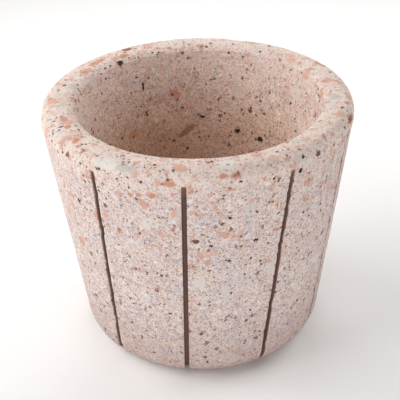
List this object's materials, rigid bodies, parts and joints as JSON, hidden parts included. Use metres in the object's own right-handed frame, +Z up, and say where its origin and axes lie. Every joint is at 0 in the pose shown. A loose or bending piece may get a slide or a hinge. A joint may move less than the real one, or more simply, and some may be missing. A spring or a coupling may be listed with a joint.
{
  "type": "stone mortar",
  "caption": "Stone mortar (molcajete) turned from one block of pink volcanic tuff, with a thick rounded rim, a deep round-bottomed cavity and sawn upright grooves around the outside.",
  "frame": {"origin": "centre of the flat base, on the surface the mortar stands on", "axes": "+Z up along the turned axis, -Y the front as it is usually shown, +X to the right seen from the front"},
  "size_m": [0.1978, 0.1978, 0.166],
  "materials": {
    "tuff": "pale pink volcanic tuff, ground matt, with salmon, pale grey and near-black stone chips"
  },
  "bodies": {
    "root": {"mortar": "tuff"}
  },
  "joints": []
}
